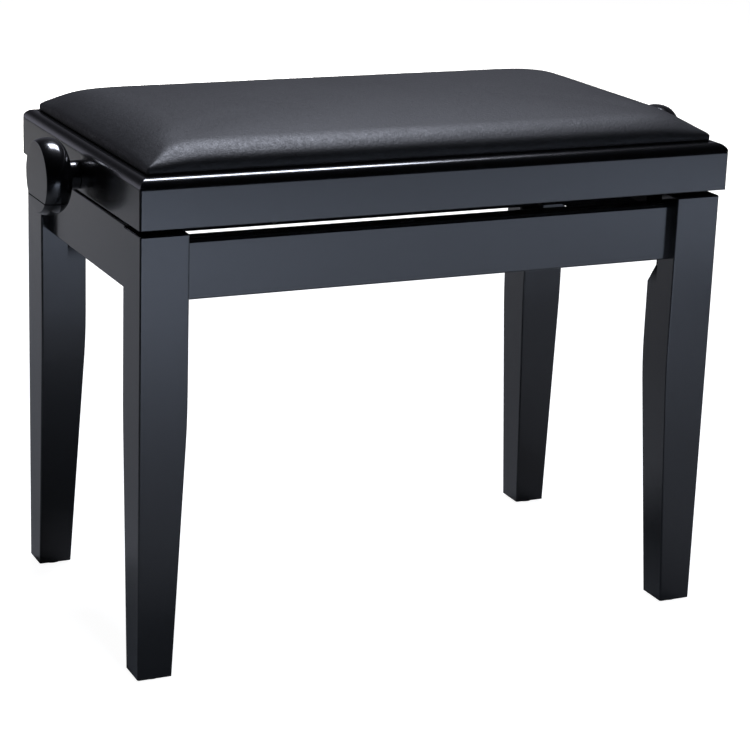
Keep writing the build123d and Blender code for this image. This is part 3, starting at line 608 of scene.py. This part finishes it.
class BenchDressFrame(bpy.types.Operator):
    """Give every rigid piece the finish that its record names"""

    bl_idname = "bench.dress_frame"
    bl_label = "Dress the frame"

    def execute(self, context):
        settings = context.scene.bench_finish
        made = {}
        for entry in frame["record"]["materials"]:
            name = entry["slot"]
            made[name] = bpy.data.materials.get(name) or bpy.data.materials.new(name)
        for name, coat_roughness in (("black_lacquer", 0.13), ("knob_lacquer", 0.08)):
            lacquer_finish(made[name], settings.lacquer, settings.lacquer_gloss, coat_roughness)
        vinyl_finish(made["black_vinyl"], settings.vinyl, settings.vinyl_gloss, settings.grain)
        wood_finish(
            made["plywood"],
            dark=(0.040, 0.030, 0.020, 1.0),
            light=(0.085, 0.064, 0.045, 1.0),
            length_axis=0,
            roughness=0.5,
        )
        wood_finish(
            made["stained_wood"],
            dark=(0.006, 0.005, 0.0045, 1.0),
            light=(0.016, 0.013, 0.011, 1.0),
            length_axis=1,
            roughness=0.75,
        )
        paint_finish(made["black_steel"], colour=(0.014, 0.014, 0.015, 1.0), roughness=0.45)
        for name, colour, roughness, lines_scale in (
            ("zinc_steel", (0.62, 0.62, 0.60, 1.0), 0.36, (900.0, 90.0, 900.0)),
            ("brass", (0.76, 0.56, 0.25, 1.0), 0.30, (90.0, 900.0, 900.0)),
        ):
            steel_finish(made[name], colour, roughness, lines_scale)
        for name, colour, roughness in (
            ("foam", (0.75, 0.72, 0.60, 1.0), 0.9),
            ("nylon", (0.030, 0.030, 0.030, 1.0), 0.5),
            ("glide_plastic", (0.030, 0.030, 0.032, 1.0), 0.55),
        ):
            plastic_finish(made[name], colour, roughness)
        for entry in frame["record"]["subparts"]:
            piece = frame["nodes"][entry["node"]]
            piece.data.materials.clear()
            piece.data.materials.append(made[entry["material_slot"]])
        return {"FINISHED"}


# Cushion
class CrownProfile:
    """Half of a cushion's cross section: wall, roll, shoulder and crown."""

    def __init__(self, half, roll, turn, shoulder, slope, wall_top):
        self.half = half
        self.roll = roll
        self.shoulder = shoulder
        self.roll_centre = (half - self.roll, wall_top)
        self.roll_end = self.roll_centre[0] + self.roll * math.cos(turn)
        gap = self.shoulder - self.roll
        self.shoulder_centre = (
            self.roll_centre[0] - gap * math.cos(turn),
            self.roll_centre[1] - gap * math.sin(turn),
        )
        self.shoulder_end = self.shoulder_centre[0] + self.shoulder * math.sin(slope)
        self.crown = self.shoulder_end / math.sin(slope)
        self.crown_centre = self.shoulder_centre[1] + (self.shoulder - self.crown) * math.cos(slope)

    def height(self, at):
        """Height of the surface at a distance from the middle."""
        at = min(abs(at), self.half)
        if at >= self.roll_end:
            return self.roll_centre[1] + math.sqrt(max(0.0, self.roll**2 - (at - self.roll_centre[0]) ** 2))
        if at >= self.shoulder_end:
            return self.shoulder_centre[1] + math.sqrt(self.shoulder**2 - (at - self.shoulder_centre[0]) ** 2)
        return self.crown_centre + math.sqrt(self.crown**2 - at**2)

    def stations(self, step):
        """Places from one edge to the other, about one step apart along the surface."""
        fine = 4000
        tiny = 1e-12
        places = [self.half * math.sin(math.pi / 2 * index / fine) for index in range(fine + 1)]
        lengths = [0.0]
        for near, far in zip(places, places[1:]):
            lengths.append(lengths[-1] + math.hypot(far - near, self.height(far) - self.height(near)))
        count = round(lengths[-1] / step)
        found = []
        index = 0
        for number in range(count + 1):
            target = lengths[-1] * number / count
            while index < fine and lengths[index] < target - tiny:
                index += 1
            found.append(places[index])
        return [-place for place in reversed(found[1:])] + found


class PadForm:
    """Crowned top over a rectangle, at full height along its middle lines and drawn down to its corners."""

    def __init__(self, settings, half_x, half_y, wall_top):
        along = (settings.turn_along, settings.shoulder_along, settings.slope_along)
        across = (settings.turn_across, settings.shoulder_across, settings.slope_across)
        self.along = CrownProfile(half_x, settings.roll, *along, wall_top)
        self.across = CrownProfile(half_y, settings.roll, *across, wall_top)
        self.wall_top = wall_top
        self.settings = settings
        self.rises = (self.along.height(0.0) - wall_top, self.across.height(0.0) - wall_top)

    def top(self, x, y):
        """Height of the surface over a place in the plan."""
        settings = self.settings
        least = 1e-4
        along = max(least, (self.along.height(x) - self.wall_top) / self.rises[0])
        across = max(least, (self.across.height(y) - self.wall_top) / self.rises[1])
        share = (along**-settings.ridge + across**-settings.ridge - 1.0) ** (-1.0 / settings.ridge)
        away = math.hypot(self.along.half - abs(x), self.across.half - abs(y))
        draw = math.exp(-((away / settings.corner_reach) ** 2))
        rise = settings.crown * share * (1.0 - settings.corner_draw * draw)
        return self.wall_top + rise - settings.corner_drop * draw

    def eased(self, x, y):
        """Place in the plan, brought in where it lies outside a rounded corner."""
        corner = self.settings.corner
        past_x = abs(x) - self.along.half + corner
        past_y = abs(y) - self.across.half + corner
        reach = math.hypot(past_x, past_y)
        if min(past_x, past_y) <= 0.0 or reach <= corner:
            return x, y
        inward = 1.0 - corner / reach
        return x - math.copysign(past_x * inward, x), y - math.copysign(past_y * inward, y)

    def outward(self, place):
        """Direction in the plan that the wall faces at a place on it."""
        corner = self.settings.corner
        past_x = max(0.0, abs(place.x) - self.along.half + corner)
        past_y = max(0.0, abs(place.y) - self.across.half + corner)
        return Vector((math.copysign(past_x, place.x), math.copysign(past_y, place.y), 0.0)).normalized()

    def mesh(self, step, floor, shifts=None):
        """Closed pad on a flat floor, the place of each top vertex on its grid, and the size of the grid."""
        columns = self.along.stations(step)
        rows = self.across.stations(step)
        form = bmesh.new()
        bmesh.ops.create_grid(form, x_segments=len(columns) - 1, y_segments=len(rows) - 1, size=1.0)
        places = []
        for vert in form.verts:
            share = ((vert.co.x + 1.0) / 2.0, (vert.co.y + 1.0) / 2.0)
            x = columns[round(share[0] * (len(columns) - 1))]
            y = rows[round(share[1] * (len(rows) - 1))]
            vert.co = (*self.eased(x, y), self.top(x, y))
            if shifts:
                vert.co += shifts.at(*share)
            places.append(share)
        tuck = self.settings.tuck
        inset = 0.0
        for turn in map(math.radians, TUCK_TURNS):
            rim = [edge for edge in form.edges if edge.is_boundary]
            wall = bmesh.ops.extrude_edge_only(form, edges=rim)["geom"]
            step_in = tuck * (1.0 - math.cos(turn)) - inset
            inset += step_in
            for vert in (item for item in wall if isinstance(item, bmesh.types.BMVert)):
                vert.co -= self.outward(vert.co) * step_in
                vert.co.z = floor + tuck * (1.0 - math.sin(turn))
        close_form(form)
        return make_mesh("cushion", form), places, (len(columns), len(rows))


class Shifts:
    """Movement of a pad's top over its grid, smoothed and read between grid points."""

    def __init__(self, size, moved):
        self.size = size
        self.grid = [[Vector() for _ in range(size[1])] for _ in range(size[0])]
        for share, shift in moved:
            self.grid[round(share[0] * (size[0] - 1))][round(share[1] * (size[1] - 1))] = shift

    def smooth(self, rounds):
        """Bring each movement halfway to the mean of the four around it, a number of times."""
        for _ in range(rounds):
            old = self.grid
            self.grid = [[shift.copy() for shift in column] for column in old]
            for i in range(1, self.size[0] - 1):
                for j in range(1, self.size[1] - 1):
                    around = old[i - 1][j] + old[i + 1][j] + old[i][j - 1] + old[i][j + 1]
                    self.grid[i][j] = old[i][j].lerp(around / 4.0, 0.5)

    def at(self, along, across):
        """Movement at a place given by its shares of the grid."""
        i, part_i = self.cell(along, self.size[0])
        j, part_j = self.cell(across, self.size[1])
        near = self.grid[i][j].lerp(self.grid[i][j + 1], part_j)
        far = self.grid[i + 1][j].lerp(self.grid[i + 1][j + 1], part_j)
        return near.lerp(far, part_i)

    def cell(self, share, count):
        """Number of the grid cell that a share falls in, and how far along the cell."""
        index = min(count - 2, int(share * (count - 1)))
        return index, share * (count - 1) - index


def swell(scene, mesh, settings, held_below):
    """Let a pad swell under a little pressure while its walls are held, and list how each vertex moves."""
    trial = add_object(scene, "cushion_trial", mesh)
    held = trial.vertex_groups.new(name="held")
    held.add([vert.index for vert in mesh.vertices if vert.co.z < held_below], 1.0, "REPLACE")
    cloth = trial.modifiers.new("swell", "CLOTH")
    for name, value in CLOTH.items():
        setattr(cloth.settings, name, value)
    cloth.settings.uniform_pressure_force = settings.pressure
    cloth.settings.vertex_group_mass = held.name
    cloth.settings.effector_weights.gravity = 0.0
    cloth.point_cache.frame_start = 1
    cloth.point_cache.frame_end = SWELL_FRAMES
    for number in range(1, SWELL_FRAMES + 1):
        scene.frame_set(number)
    swollen = trial.evaluated_get(bpy.context.evaluated_depsgraph_get())
    moved = [new.co - old.co for old, new in zip(mesh.vertices, swollen.to_mesh().vertices)]
    swollen.to_mesh_clear()
    scene.frame_set(1)
    bpy.data.objects.remove(trial)
    longest = max(shift.length for shift in moved)
    return [shift * min(1.0, settings.most_swell / longest) for shift in moved]


def folded_hem(settings, half_x, half_y, top, bottom):
    """Cover folded down round the board's edge and in under it, as one closed ring."""
    section = (
        (0.0, top),
        (0.0, bottom + settings.cover),
        (settings.cover, bottom),
        (settings.hem, bottom),
        (settings.hem, bottom + settings.cover),
        (settings.cover, bottom + settings.cover),
        (settings.cover, top),
    )
    corners = ((-1, -1), (1, -1), (1, 1), (-1, 1))
    form = bmesh.new()
    loops = []
    for inset, level in section:
        places = [(sx * (half_x - inset), sy * (half_y - inset), level) for sx, sy in corners]
        loops.append([form.verts.new(place) for place in places])
    for near, far in zip(loops, loops[1:] + loops[:1]):
        for index in range(len(corners)):
            form.faces.new((near[index - 1], near[index], far[index], far[index - 1]))
    bmesh.ops.recalc_face_normals(form, faces=form.faces)
    return form


class BenchBuildCushion(bpy.types.Operator):
    """Build the padded seat, let its cover swell and fold its hem under the board"""

    bl_idname = "bench.build_cushion"
    bl_label = "Build the cushion"

    def execute(self, context):
        settings = context.scene.bench_cushion
        low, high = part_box("cushion_cover")
        board_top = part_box("seat_board")[1].z
        pad = PadForm(settings, high.x, high.y, board_top + settings.wall)
        floor = board_top + settings.rest_gap
        shifts = None
        rough, places, size = pad.mesh(settings.step, floor)
        moved = swell(context.scene, rough, settings, pad.wall_top + settings.held)
        bpy.data.meshes.remove(rough)
        shifts = Shifts(size, zip(places, moved))
        shifts.smooth(settings.smoothing)
        mesh = pad.mesh(settings.fine_step, floor, shifts)[0]
        form = folded_hem(settings, high.x, high.y, floor, low.z)
        form.from_mesh(mesh)
        form.to_mesh(mesh)
        form.free()
        dress_mesh(mesh, "black_vinyl", settings.fold_angle)
        cushion = add_object(context.scene, "cushion", mesh)
        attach(cushion, "seat")
        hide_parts("cushion_cover", "cushion_foam")
        return {"FINISHED"}


# Spindle
class BenchThreadSpindle(bpy.types.Operator):
    """Turn the spindle and cut the thread that its nut runs on"""

    bl_idname = "bench.thread_spindle"
    bl_label = "Thread the spindle"

    def execute(self, context):
        settings = context.scene.bench_spindle
        low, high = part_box("spindle")
        radius = (high.z - low.z) / 2
        axis = (high.z + low.z) / 2
        length = settings.end - settings.start
        rings = round(length / settings.pitch * settings.cuts)
        stations = [settings.start + length * number / rings for number in range(rings + 1)]
        stations = [low.x, low.x + settings.bevel, *stations, high.x - settings.bevel, high.x]
        last = len(stations) - 1
        form = bmesh.new()
        bmesh.ops.create_grid(form, x_segments=last, y_segments=settings.sides, size=1.0)
        for vert in form.verts:
            number = round((vert.co.x + 1.0) / 2.0 * last)
            turn = (vert.co.y + 1.0) / 2.0
            cut = settings.bevel if number in {0, last} else self.cut(settings, stations[number], turn)
            angle = 2.0 * math.pi * turn
            vert.co.x = stations[number]
            vert.co.y = (radius - cut) * math.cos(angle)
            vert.co.z = (radius - cut) * math.sin(angle) + axis
        bmesh.ops.remove_doubles(form, verts=form.verts, dist=1e-6)
        close_form(form)
        mesh = make_mesh("threaded_spindle", form)
        dress_mesh(mesh, "zinc_steel", settings.fold_angle)
        spindle = add_object(context.scene, "threaded_spindle", mesh)
        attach(spindle, "spindle_set")
        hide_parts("spindle")
        return {"FINISHED"}

    def cut(self, settings, along, turn):
        """Depth of the thread at a place along the spindle and a share of a turn round it."""
        runout = min(along - settings.start, settings.end - along) / settings.pitch
        if runout <= 0.0:
            return 0.0
        phase = ((along - settings.start) / settings.pitch - turn) % 1.0
        share = (settings.groove / 2 - abs(phase - 0.5)) / settings.flank
        return settings.depth * max(0.0, min(1.0, share)) * min(1.0, runout)


# Studio
def emitter(name, left, right, dim):
    """Glowing wall whose light paints reflections: low at its left, high at its right and dim above both."""
    material = bpy.data.materials.new(name)
    graph = Graph(material)
    across, _, level = graph.parts(graph.place())
    low = graph.blend(graph.ramp(level, *LOW_FADE), left, dim)
    tall = graph.blend(graph.ramp(level, *TALL_FADE), right, dim)
    colour = graph.blend(graph.ramp(across, *GLOW_CHANGE), low, tall)
    graph.show(graph.node("ShaderNodeEmission", None, {"Color": colour}))
    return material


def softbox(scene, name, power, size, place, colour):
    """Rectangular lamp that faces straight down."""
    lamp = bpy.data.lights.new(name, "AREA")
    lamp.shape = "RECTANGLE"
    lamp.size, lamp.size_y = size
    lamp.energy = power
    lamp.color = colour
    holder = add_object(scene, name, lamp)
    holder.location = place
    holder.visible_camera = False
    return holder


class BenchBuildStudio(bpy.types.Operator):
    """Set the bench on a pale floor under soft light, with a camera in front of it"""

    bl_idname = "bench.build_studio"
    bl_label = "Build the studio"

    def execute(self, context):
        scene = context.scene
        settings = scene.bench_studio
        scene.view_settings.view_transform = "Standard"
        self.build_world(scene, settings)
        self.build_floor(scene)
        self.build_walls(scene)
        self.build_lamps(scene, settings)
        self.build_camera(scene, settings)
        return {"FINISHED"}

    def build_world(self, scene, settings):
        """White all round where it is seen, and dim where it lights the bench."""
        world = bpy.data.worlds.new("studio")
        graph = Graph(world)
        dim, white = (
            graph.node("ShaderNodeBackground", None, {"Color": grey(1.0), "Strength": strength})
            for strength in (settings.ambient, 1.0)
        )
        seen = graph.rays("Camera", "Glossy", "Transmission")
        graph.show(graph.mixed(seen, dim, white), "ShaderNodeOutputWorld")
        scene.world = world

    def build_floor(self, scene):
        """White floor to the camera; to other rays grey, with painted shade near the bench and on two
        patches.
        """
        form = bmesh.new()
        bmesh.ops.create_grid(form, x_segments=2, y_segments=2, size=FLOOR_REACH)
        floor = add_object(scene, "floor", make_mesh("floor", form))
        material = bpy.data.materials.new("pale_floor")
        graph = Graph(material)
        place = graph.place()
        across, along, _ = graph.parts(place)
        distance = graph.node("ShaderNodeVectorMath", {"operation": "LENGTH"}, {0: place}, "Value")
        # Painted shade for rays that are not the camera's: the grey is darker near the bench, standing in for
        # its shadow, and a little darker to the rear
        away = graph.ramp(distance, 0.39, 2.0)
        front = graph.blend(away, grey(0.235), grey(0.51))
        rear = graph.blend(away, grey(0.185), grey(0.43))
        pale = graph.blend(graph.ramp(along, -0.3, 0.3), front, rear)
        # Painted shadows: two dark patches on the floor, at front left and front right, darken the
        # reflections there
        left_painted_shadow = graph.ramp(across, -0.25, -0.65) * graph.ramp(along, -0.2, -0.6)
        right_painted_shadow = graph.ramp(across, 0.7, 1.2) * graph.ramp(along, -1.4, -1.0)
        right_painted_shadow = right_painted_shadow * graph.ramp(along, -0.3, -0.6)
        painted_shade_floor = graph.blend(left_painted_shadow + right_painted_shadow, pale, grey(0.02))
        painted_shade_bsdf = graph.node("ShaderNodeBsdfDiffuse", None, {"Color": painted_shade_floor})
        shadowed = graph.node("ShaderNodeBsdfDiffuse", None, {"Color": grey(0.35)})
        glow = graph.node("ShaderNodeEmission", None, {"Color": grey(1.0), "Strength": 0.95})
        white = graph.node("ShaderNodeAddShader", None, {0: shadowed, 1: glow})
        graph.show(graph.mixed(graph.rays("Camera"), painted_shade_bsdf, white))
        floor.data.materials.append(material)

    def build_walls(self, scene):
        """Room of glowing walls that only reflections see: painted reflections."""
        form = bmesh.new()
        bmesh.ops.create_cube(form, size=1.0)
        bmesh.ops.scale(form, vec=ROOM_SIZE, verts=form.verts)
        bmesh.ops.translate(form, vec=(0.0, 0.0, ROOM_SIZE[2] / 2 - ROOM_SUNK), verts=form.verts)
        bmesh.ops.reverse_faces(form, faces=form.faces)
        bmesh.ops.delete(form, geom=[face for face in form.faces if face.normal.z > 0.5], context="FACES")
        inward = [Vector(wall[0]) for wall in WALLS.values()]
        for face in form.faces:
            facing = [face.normal.dot(direction) for direction in inward]
            face.material_index = facing.index(max(facing))
        walls = add_object(scene, "walls", make_mesh("walls", form))
        for name, (_, *glows) in WALLS.items():
            walls.data.materials.append(emitter(name, *(shade(WALL_COLOUR, glow) for glow in glows)))
        for ray in ("camera", "diffuse", "transmission", "volume_scatter", "shadow"):
            setattr(walls, f"visible_{ray}", False)

    def build_lamps(self, scene, settings):
        """Softbox over the bench, and lamps that light the floor round it and that no reflection sees."""
        softbox(
            scene,
            "overhead_light",
            settings.key_power,
            size=(1.0, 0.62),
            place=(0.29, 0.56, 2.0),
            colour=COOL_LIGHT,
        )
        for name, power, size, across, along, spread, colour in (
            ("left_light", settings.left_power, (0.3, 0.8), -0.15, -1.62, 138, BLUE_LIGHT),
            ("right_light", settings.right_power, (0.3, 0.8), 1.47, -1.62, 138, BLUE_LIGHT),
            ("rear_light", settings.rear_power, (1.4, 0.3), 0.68, 2.36, 110, WARM_LIGHT),
            ("side_light", settings.side_power, (0.3, 1.2), 2.1, 0.5, 110, WARM_LIGHT),
        ):
            lamp = softbox(scene, name, power, size, (across, along, FLOOR_LAMP_HEIGHT), colour)
            lamp.data.spread = math.radians(spread)
            lamp.visible_glossy = False

    def build_camera(self, scene, settings):
        """Camera in front of the bench and to its left, a little above the seat."""
        yaw, pitch, roll = map(math.radians, CAMERA_TURN)
        forward = Vector((math.sin(yaw) * math.cos(pitch), math.cos(yaw) * math.cos(pitch), -math.sin(pitch)))
        level = Vector((math.cos(yaw), -math.sin(yaw), 0.0))
        upright = level.cross(forward)
        right = level * math.cos(roll) + upright * math.sin(roll)
        up = upright * math.cos(roll) - level * math.sin(roll)
        camera = add_object(scene, "camera", bpy.data.cameras.new("camera"))
        turn = Matrix((right, up, -forward)).transposed().to_4x4()
        camera.matrix_world = Matrix.Translation(CAMERA_PLACE) @ turn
        camera.data.sensor_width = SENSOR_WIDTH
        camera.data.lens = settings.lens
        camera.data.shift_x, camera.data.shift_y = CAMERA_SHIFT
        scene.camera = camera


class BenchPanel(bpy.types.Panel):
    """Settings of the bench in the sidebar"""

    bl_idname = "VIEW3D_PT_bench"
    bl_label = "Piano bench"
    bl_space_type = "VIEW_3D"
    bl_region_type = "UI"
    bl_category = "Bench"

    def draw(self, context):
        for name in GROUPS:
            settings = getattr(context.scene, name)
            box = self.layout.box()
            for key in settings.bl_rna.properties.keys():
                if key not in {"rna_type", "name"}:
                    box.prop(settings, key)
        for operator in STEPS:
            self.layout.operator(operator.bl_idname)


GROUPS = {
    "bench_finish": BenchFinish,
    "bench_cushion": BenchCushion,
    "bench_spindle": BenchSpindle,
    "bench_studio": BenchStudio,
}
STEPS = (BenchDressFrame, BenchBuildCushion, BenchThreadSpindle, BenchBuildStudio)


def register():
    for group in GROUPS.values():
        bpy.utils.register_class(group)
    for name, group in GROUPS.items():
        setattr(bpy.types.Scene, name, bpy.props.PointerProperty(type=group))
    for operator in STEPS:
        bpy.utils.register_class(operator)
    bpy.utils.register_class(BenchPanel)


def unregister():
    bpy.utils.unregister_class(BenchPanel)
    for operator in reversed(STEPS):
        bpy.utils.unregister_class(operator)
    for name, group in GROUPS.items():
        delattr(bpy.types.Scene, name)
        bpy.utils.unregister_class(group)


def main():
    register()
    bpy.ops.bench.dress_frame()
    bpy.ops.bench.build_cushion()
    bpy.ops.bench.thread_spindle()
    bpy.ops.bench.build_studio()


if __name__ == "__main__":
    main()
